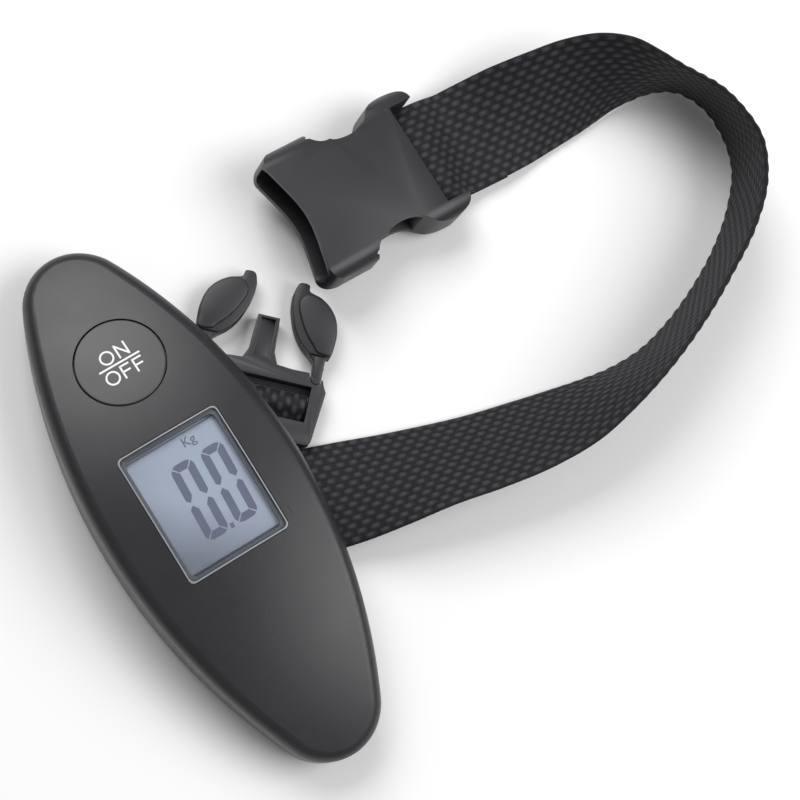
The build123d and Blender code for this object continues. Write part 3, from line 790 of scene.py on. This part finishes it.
# ------------------------------------------------------------------ buckle
# outline of the right arm of the inserted half and of the raised pad on it: along, across
ARM_OUTLINE = [
    (-5.4, 15.0), (-3.6, 15.05), (-2.3, 15.1), (-1.9, 15.4), (-1.7, 16.0), (-0.8, 16.3),
    (1.4, 16.5), (4.2, 16.5), (7.6, 15.6), (10.2, 13.7), (11.9, 11.2), (12.5, 9.2), (13.0, 8.1),
    (14.3, 7.8), (14.6, 6.6), (14.3, 5.4), (13.0, 4.8), (11.0, 4.5), (7.6, 4.9), (3.2, 6.5),
    (0.2, 8.5), (-2.0, 11.0), (-3.6, 12.5), (-5.4, 12.8),
]
PAD_OUTLINE = [
    (-1.3, 12.8), (-1.5, 15.9), (0.9, 16.2), (4.2, 16.3), (7.5, 15.4), (10.0, 13.4), (11.6, 10.9),
    (12.1, 8.8), (11.4, 7.0), (9.0, 6.2), (5.2, 7.7), (2.2, 9.6), (0.0, 11.6),
]
NECK_OUTLINE = [(-7.4, 12.8), (-1.4, 12.3), (-1.4, 15.1), (-7.4, 15.1)]

# round root that the arm turns about, and heights of the arm's levels above the half's own zero
ARM_ROOT = (-7.4, 13.9)
ARM_ROOT_RADIUS = 1.25
ARM_STEM_TOP = 4.3
ARM_PADDLE_TOP = 4.95
ARM_PAD_TOP = 5.55
ARM_FOOT = 0.1

# where the thicker paddle of an arm begins, along the inserted half
PADDLE_START = -1.9


def smooth_ring(corners, steps=5):
    """A closed curve through the given corners."""
    points = []
    count = len(corners)
    for i in range(count):
        p0, p1, p2, p3 = (Vector(corners[(i + k - 1) % count]) for k in range(4))
        for j in range(steps):
            t = j / steps
            curve = 2 * p1 + (p2 - p0) * t + (2 * p0 - 5 * p1 + 4 * p2 - p3) * t**2
            points.append((curve + (3 * p1 - p0 - 3 * p2 + p3) * t**3) / 2)
    return points


def male_block(outline, side, low, high, edge):
    """A rounded block of the inserted half, from an outline along and across it, mm."""
    base = MALE_ORIGIN + UP * low
    corners = [base + MALE_X * s - MALE_Y * (side * p) for s, p in outline]
    block = raised_block(corners, high - low)
    limits = {"limit_method": "ANGLE", "angle_limit": radians(50)}
    apply_modifier(block, "BEVEL", width=edge * MM, segments=3, **limits)
    return block


# centre of the hollow in each flank of the receiving half, along and across it, and its radius
WAIST_U = 24.3
WAIST_V = 17.4
WAIST_RADIUS = 4.2


def waist_cutter(side):
    """A round cutter square to the receiving half, where its waist meets its flank."""
    deselect()
    bpy.ops.mesh.primitive_cylinder_add(vertices=48, radius=WAIST_RADIUS * MM, depth=30 * MM)
    cutter = bpy.context.object
    place = FEMALE_ORIGIN + FEMALE_X * WAIST_U + FEMALE_Y * (side * WAIST_V)
    turn = Matrix((FEMALE_X, FEMALE_Y, FEMALE_Z)).transposed().to_4x4()
    cutter.matrix_world = Matrix.Translation(place * MM) @ turn
    settle(cutter)
    return cutter


class SCALE_OT_buckle(bpy.types.Operator):
    """Round the buckle halves and model the two springy arms"""

    bl_idname = "luggage_scale.buckle"
    bl_label = "Buckle"

    def execute(self, context):
        case = context.scene.scale_case
        plastic = moulded("Buckle plastic", case.buckle_colour, 0.40, case.grain * 0.6)
        for name, side, body in (("right", 1, "arm_right"), ("left", -1, "arm_left")):
            stem = smooth_ring(ARM_OUTLINE)
            parts = [male_block(stem, side, ARM_FOOT, ARM_STEM_TOP, 0.5)]
            paddle = [(max(s, PADDLE_START), p) for s, p in stem if s > PADDLE_START - 0.4]
            parts.append(male_block(paddle, side, ARM_FOOT + 0.1, ARM_PADDLE_TOP, 0.55))
            pad = smooth_ring(PAD_OUTLINE)
            parts.append(male_block(pad, side, ARM_PADDLE_TOP - 0.8, ARM_PAD_TOP, 0.4))
            root = arc_points(*ARM_ROOT, ARM_ROOT_RADIUS, 0, 345, 23)
            parts.append(male_block(root, side, ARM_FOOT, ARM_STEM_TOP, 0.15))
            parts.append(male_block(NECK_OUTLINE, side, ARM_FOOT, ARM_STEM_TOP + 0.05, 0.4))
            arm = join(parts)
            smooth_by_angle(arm, 40.0)
            node = f"buckle_arm_{name}"
            finished(arm, f"arm_{name}_moulding", plastic, body, [node])
        for node, edge in (("buckle_female", 0.7), ("buckle_male_frame", 0.45)):
            carved = (-1, 1) if node == "buckle_female" else ()
            piece = refined_copy(node, edge * MM, [waist_cutter(v) for v in carved])
            finished(piece, node + "_moulding", plastic, "strap_set", [node])
        return {"FINISHED"}


# ------------------------------------------------------------------ body
# radii of the domed front along and across the body, and height of its middle
CROWN_LONG = 184.0
CROWN_CROSS = 140.0
BODY_HEIGHT = 25.0

# printed words: a stroke's width, how far its ends run over in widths, thickness and how far
# it stands proud of the button
STROKE_WIDTH = 0.44
STROKE_OVERRUN = 0.7
PRINT_DEPTH = 0.1
PRINT_PROUD = 0.03
ROUND_RADIUS = 1.5
ROUND_LETTERS = [(-2.07, 38.22), (-3.28, 33.42)]
STROKES = [
    ((0.62, 36.78), (0.62, 39.85)), ((0.62, 39.85), (2.98, 36.78)), ((2.98, 36.78), (2.98, 39.85)),
    ((-5.2, 35.9), (4.85, 35.9)),
    ((-0.68, 34.92), (-0.68, 31.95)), ((-0.68, 34.92), (1.35, 34.92)),
    ((-0.68, 33.48), (1.12, 33.48)),
    ((2.48, 34.92), (2.48, 31.95)), ((2.48, 34.92), (4.55, 34.92)), ((2.48, 33.45), (4.3, 33.45)),
]


def crown_z(x, y):
    """Height of the domed front, mm."""
    long_sag = CROWN_LONG - sqrt(CROWN_LONG**2 - y**2)
    cross_sag = CROWN_CROSS - sqrt(CROWN_CROSS**2 - x**2)
    return BODY_HEIGHT - long_sag - cross_sag


def laid_on_crown(piece, top, thickness):
    """Drop a flat piece modelled around height 0 on to the domed front."""
    for vertex in piece.data.vertices:
        x, y, z = vertex.co
        below = 0.0 if z > 0 else thickness
        vertex.co.z = (crown_z(x / MM, y / MM) + top - below) * MM


def flat_stroke(start, end):
    """A straight stroke of lettering with rounded ends."""
    a = Vector(start)
    b = Vector(end)
    middle = (a + b) / 2
    length = (b - a).length + STROKE_WIDTH * STROKE_OVERRUN
    bpy.ops.mesh.primitive_cube_add(size=MM)
    stroke = bpy.context.object
    stroke.scale = (length, STROKE_WIDTH, PRINT_DEPTH)
    settle(stroke)
    limits = {"limit_method": "ANGLE", "angle_limit": radians(60)}
    apply_modifier(stroke, "BEVEL", width=0.3 * STROKE_WIDTH * MM, segments=3, **limits)
    stroke.rotation_euler = (0, 0, -Vector((1, 0)).angle_signed(b - a))
    stroke.location = (middle.x * MM, middle.y * MM, 0)
    settle(stroke)
    return stroke


def flat_ring(centre):
    """A round letter."""
    bpy.ops.mesh.primitive_torus_add(
        major_radius=ROUND_RADIUS * MM,
        minor_radius=STROKE_WIDTH / 2 * MM,
        major_segments=48,
        minor_segments=8,
        location=(centre[0] * MM, centre[1] * MM, 0),
    )
    ring = bpy.context.object
    ring.scale = (1, 1, 0.25)
    settle(ring)
    return ring


class SCALE_OT_lettering(bpy.types.Operator):
    """Print the words on the power button"""

    bl_idname = "luggage_scale.lettering"
    bl_label = "Button lettering"

    def execute(self, context):
        parts = [flat_stroke(*ends) for ends in STROKES]
        parts += [flat_ring(centre) for centre in ROUND_LETTERS]
        piece = join(parts)
        bpy.ops.object.mode_set(mode="EDIT")
        bpy.ops.mesh.select_all(action="SELECT")
        bpy.ops.mesh.subdivide(number_cuts=7)
        bpy.ops.object.mode_set(mode="OBJECT")
        laid_on_crown(piece, PRINT_PROUD, PRINT_DEPTH)
        smooth_by_angle(piece)
        white = plain("White print", context.scene.scale_case.lettering_colour, 0.5)
        finished(piece, "button_lettering", white, "power_button")
        return {"FINISHED"}


# ------------------------------------------------------------------ display figures
# top of the panel, and a figure's slant, width, bar, lower edge and left edges, then the dot, mm
PANEL_TOP = 21.3
FIGURE_SLANT = 0.052
FIGURE_WIDTH = 5.75
FIGURE_BAR = 1.85
FIGURE_LOW_Y = -9.05
FIGURE_LEFTS = (-4.35, 3.35)
DOT_OUTLINE = [(1.75, -9.0), (2.65, -9.0), (2.72, -7.85), (1.82, -7.85)]
UNIT_PLACE = (2.1 * MM, 11.9 * MM, PANEL_TOP * MM)
UNIT_SIZE = 3.1 * MM


def segment_outlines(width, height, bar):
    """Corner points of the six outer segments of a digit nought, from its lower left corner."""
    half = height / 2
    corner = 1.5
    gap = 0.13
    reach = 1.15
    side_low = bar * 0.42
    top = [
        (corner * 0.35 + gap, height - corner * 0.35 + gap), (corner + gap, height),
        (width - corner - gap, height), (width - corner * 0.35 - gap, height - corner * 0.35 + gap),
        (width - bar - 0.05, height - bar), (bar + 0.05, height - bar),
    ]
    left_high = [
        (corner * 0.35 - gap, height - corner * 0.35 - gap), (0, height - corner),
        (0, half + reach), (side_low * 1.1, half + 0.35), (bar, half + reach + 0.5),
        (bar, height - bar - 2 * gap),
    ]
    shapes = [top, left_high]
    shapes.append([(width - x, y) for x, y in left_high])
    shapes.append([(x, height - y) for x, y in left_high])
    shapes.append([(width - x, height - y) for x, y in left_high])
    shapes.append([(x, height - y) for x, y in top])
    return shapes


def figure_plate(outline):
    """A thin plate on the display panel with the given outline, mm."""
    return raised_block([Vector((x, y, PANEL_TOP - 0.02)) for x, y in outline], 0.07)


class SCALE_OT_figures(bpy.types.Operator):
    """Lay the figures and the unit on the display panel"""

    bl_idname = "luggage_scale.figures"
    bl_label = "Display figures"

    def execute(self, context):
        settings = context.scene.scale_display
        segments = segment_outlines(FIGURE_WIDTH, settings.figure_height / MM, FIGURE_BAR)
        parts = []
        for left in FIGURE_LEFTS:
            for outline in segments:
                slanted = [(left + x + FIGURE_SLANT * y, FIGURE_LOW_Y + y) for x, y in outline]
                parts.append(figure_plate(slanted))
        parts.append(figure_plate(DOT_OUTLINE))
        bpy.ops.object.text_add(location=UNIT_PLACE)
        unit = context.object
        unit.data.body = "Kg"
        unit.data.size = UNIT_SIZE
        unit.data.extrude = 0.03 * MM
        unit.data.offset = 0.02 * MM
        only(unit)
        bpy.ops.object.convert(target="MESH")
        settle(unit)
        piece = join([*parts, unit])
        figure = plain("Display figures", settings.figure_colour, 0.4)
        finished(piece, "display_figures", figure, "scale_body")
        return {"FINISHED"}


# ------------------------------------------------------------------ window rim
LENS_WIDTH = 25.8
LENS_LENGTH = 32.4
LENS_CENTRE_Y = 0.7
LENS_CORNER = 1.2
RING_RADIUS = 10.0

# painted highlight round the window (a light grey ring where the lens's bevelled edge catches the
# light) and printed border: inset of the band's middle, half its width, half its height
HIGHLIGHT_RING_BAND = (0.28, 0.2, 0.12)
HIGHLIGHT_RING_SINK = 0.1
BORDER_BAND = (0.92, 0.42, 0.03)
BORDER_LEVEL = 22.88


def rounded_place(angle, inset, corner):
    """A point on the window's outline, moved in by inset, in the direction of an angle."""
    half_x = LENS_WIDTH / 2 - inset - corner
    half_y = LENS_LENGTH / 2 - inset - corner
    total = 4 * (half_x + half_y) + 2 * pi * corner
    run = (angle / (2 * pi)) % 1.0 * total
    centres = [(half_x, half_y), (-half_x, half_y), (-half_x, -half_y), (half_x, -half_y)]
    sides = [2 * half_x, 2 * half_y, 2 * half_x, 2 * half_y]
    for k, (cx, cy) in enumerate(centres):
        turn = k * pi / 2
        arc = pi / 2 * corner
        if run <= arc:
            here = turn + run / corner
            return cx + corner * cos(here), cy + corner * sin(here)
        run -= arc
        if run <= sides[k]:
            here = turn + pi / 2
            start = (cx + corner * cos(here), cy + corner * sin(here))
            return start[0] - run * sin(here), start[1] + run * cos(here)
        run -= sides[k]
    return half_x + corner, half_y


def window_ring(middle, half_band, rise, level):
    """A ring round the window: half a band wide each way from an inset, rise high, at a level."""
    deselect()
    bpy.ops.mesh.primitive_torus_add(
        major_segments=144, minor_segments=6, major_radius=RING_RADIUS * MM, minor_radius=MM
    )
    ring = bpy.context.object
    for vertex in ring.data.vertices:
        x, y, z = vertex.co / MM
        reach = Vector((x, y)).length - RING_RADIUS
        angle = -Vector((1, 0)).angle_signed(Vector((x, y)))
        px, py = rounded_place(angle, middle - reach * half_band, LENS_CORNER)
        py += LENS_CENTRE_Y
        vertex.co = Vector((px, py, level(px, py) + z * rise)) * MM
    smooth_by_angle(ring, 50.0)
    return ring


class SCALE_OT_window(bpy.types.Operator):
    """Add a light grey ring round the window, a painted highlight on the lens's bevelled edge, and
    the printed border under it
    """

    bl_idname = "luggage_scale.window"
    bl_label = "Window edge"

    def execute(self, context):
        # painted highlight: a light grey ring stands for the light caught by the lens's bevelled
        # edge
        edge = window_ring(*HIGHLIGHT_RING_BAND, lambda x, y: crown_z(x, y) - HIGHLIGHT_RING_SINK)
        bright = plain("Window edge", (0.30, 0.315, 0.34), 0.2)
        finished(edge, "window_edge_painted_highlight", bright, "scale_body")
        border = window_ring(*BORDER_BAND, lambda x, y: BORDER_LEVEL)
        grey = plain("Window border", (0.17, 0.18, 0.20), 0.35)
        finished(border, "window_border", grey, "scale_body")
        return {"FINISHED"}


# ------------------------------------------------------------------ finishes of the CAD pieces
class SCALE_OT_finishes(bpy.types.Operator):
    """Give every CAD piece that stays its own finish"""

    bl_idname = "luggage_scale.finishes"
    bl_label = "Finishes"

    def execute(self, context):
        case = context.scene.scale_case
        panel = context.scene.scale_display.panel_colour
        body = moulded("Body plastic", case.case_colour, 0.36, case.grain)
        button = moulded("Button plastic", case.button_colour, 0.37, case.grain * 0.5)
        steel = metal("Zinc plated steel", (0.55, 0.55, 0.56), 0.3)
        bright = metal("Nickel plate", (0.72, 0.70, 0.66), 0.22)
        finishes = {
            "front_shell": body,
            "back_shell": body,
            "battery_cover": moulded("Cover plastic", case.case_colour, 0.48, case.grain),
            "on_off_button": button,
            "switch_plunger": plain("Plunger plastic", (0.03, 0.03, 0.03), 0.3),
            "display_lens": clear_window(),
            "display_glass": panel_finish(panel),
            "display_frame": plain("Frame plastic", (0.42, 0.43, 0.45), 0.4),
            "display_reflector": plain("White sheet", (0.8, 0.82, 0.84), 0.5),
            "rubber_connectors": striped_rubber(),
            "circuit_board": board_finish(),
            "controller_blob": plain("Black resin", (0.012, 0.012, 0.012), 0.12),
            "tact_switch": metal("Switch can", (0.6, 0.6, 0.6), 0.3),
            "load_cell_beam": metal("Milled aluminium", (0.78, 0.79, 0.8), 0.32, (1, 20, 1)),
            "strain_gauges": metal("Gauge foil", (0.62, 0.44, 0.2), 0.35),
            "beam_screws": steel,
            "stirrup_screw": steel,
            "shell_screws": steel,
            "pull_stirrup": metal("Folded steel", (0.5, 0.5, 0.51), 0.34),
            "strap_bar": metal("Drawn steel", (0.58, 0.58, 0.6), 0.24, (12, 1, 12)),
            "coin_cell": metal("Cell can", (0.66, 0.66, 0.67), 0.2),
            "cell_contact_top": bright,
            "cell_contact_side": bright,
            "gauge_leads": plain("Lead insulation", (0.32, 0.04, 0.03), 0.45),
            "battery_leads": plain("Battery lead insulation", (0.25, 0.03, 0.03), 0.45),
        }
        for name, material in finishes.items():
            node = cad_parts[name]
            node.data.materials.clear()
            node.data.materials.append(material)
        return {"FINISHED"}


# ------------------------------------------------------------------ stage
# metres, watts and degrees
FLOOR_SIZE = 6.0
FLOOR_PLACE = (0.05, 0, -0.0002)
SKY_STRENGTH = 0.27
AIM = (0.05, 0, 0.01)
LIGHTS = [
    ("Key light", (0.10, 0.78, 0.92), 0.7, 8.6),
    ("Fill light", (0.62, -0.45, 0.9), 0.8, 8.5),
]
CAMERA_PLACE = (-0.06453, -0.04107, 0.49027)
CAMERA_TURNS = (-11.07, 9.27, 32.5)


class SCALE_OT_stage(bpy.types.Operator):
    """Set the floor, the lights and the camera"""

    bl_idname = "luggage_scale.stage"
    bl_label = "Stage"

    def soft_light(self, name, place, size, power):
        """A square area light aimed at the object."""
        deselect()
        bpy.ops.object.light_add(type="AREA", location=place)
        light = bpy.context.object
        light.name = name
        light.data.shape = "SQUARE"
        light.data.size = size
        light.data.energy = power
        aim = Vector(AIM) - Vector(place)
        light.rotation_euler = aim.to_track_quat("-Z", "Y").to_euler()

    def execute(self, context):
        settings = context.scene.scale_stage
        deselect()
        bpy.ops.mesh.primitive_plane_add(size=FLOOR_SIZE, location=FLOOR_PLACE)
        floor = context.object
        floor.name = "floor"
        paper = Finish("Pale floor", settings.floor_colour)
        floor.data.materials.append(
            paper.surface(Base_Color=(*settings.floor_colour, 1.0), Roughness=0.85)
        )
        world = bpy.data.worlds.new("Studio")
        context.scene.world = world
        world.use_nodes = True
        background = world.node_tree.nodes["Background"]
        background.inputs["Color"].default_value = (1, 1, 1, 1)
        background.inputs["Strength"].default_value = SKY_STRENGTH
        for light in LIGHTS:
            self.soft_light(*light)
        deselect()
        bpy.ops.object.camera_add()
        camera = context.object
        camera.name = "Camera"
        camera.data.lens = settings.focal_length
        camera.data.sensor_width = 36.0
        camera.data.clip_start = 0.01
        turn = Matrix.Identity(3)
        for degrees, axis in zip(CAMERA_TURNS, "XYZ"):
            turn = turn @ Matrix.Rotation(radians(degrees), 3, axis)
        camera.matrix_world = Matrix.Translation(CAMERA_PLACE) @ turn.transposed().to_4x4()
        context.scene.camera = camera
        context.scene.view_settings.view_transform = "Standard"
        return {"FINISHED"}


# ------------------------------------------------------------------ panel and registration
class SCALE_PT_panel(bpy.types.Panel):
    """Lists the steps that build the scale"""

    bl_idname = "SCALE_PT_panel"
    bl_label = "Luggage scale"
    bl_space_type = "VIEW_3D"
    bl_region_type = "UI"
    bl_category = "Scale"

    def draw(self, context):
        for step in STEPS:
            self.layout.operator(step.bl_idname)
        for group in SETTINGS:
            box = self.layout.box()
            values = getattr(context.scene, group)
            for name in values.__annotations__:
                box.prop(values, name)


STEPS = (
    SCALE_OT_stage,
    SCALE_OT_finishes,
    SCALE_OT_webbing,
    SCALE_OT_buckle,
    SCALE_OT_lettering,
    SCALE_OT_figures,
    SCALE_OT_window,
)
SETTINGS = {
    "scale_strap": StrapSettings,
    "scale_case": CaseSettings,
    "scale_display": DisplaySettings,
    "scale_stage": StageSettings,
}


def register():
    """Make the classes and settings known to Blender."""
    for group, kind in SETTINGS.items():
        bpy.utils.register_class(kind)
        setattr(bpy.types.Scene, group, bpy.props.PointerProperty(type=kind))
    for step in STEPS:
        bpy.utils.register_class(step)
    bpy.utils.register_class(SCALE_PT_panel)


def unregister():
    """Take the classes and settings away again."""
    bpy.utils.unregister_class(SCALE_PT_panel)
    for step in reversed(STEPS):
        bpy.utils.unregister_class(step)
    for group, kind in SETTINGS.items():
        delattr(bpy.types.Scene, group)
        bpy.utils.unregister_class(kind)


def main():
    """Build everything."""
    register()
    bpy.ops.luggage_scale.stage()
    bpy.ops.luggage_scale.finishes()
    bpy.ops.luggage_scale.webbing()
    bpy.ops.luggage_scale.buckle()
    bpy.ops.luggage_scale.lettering()
    bpy.ops.luggage_scale.figures()
    bpy.ops.luggage_scale.window()


if __name__ == "__main__":
    main()
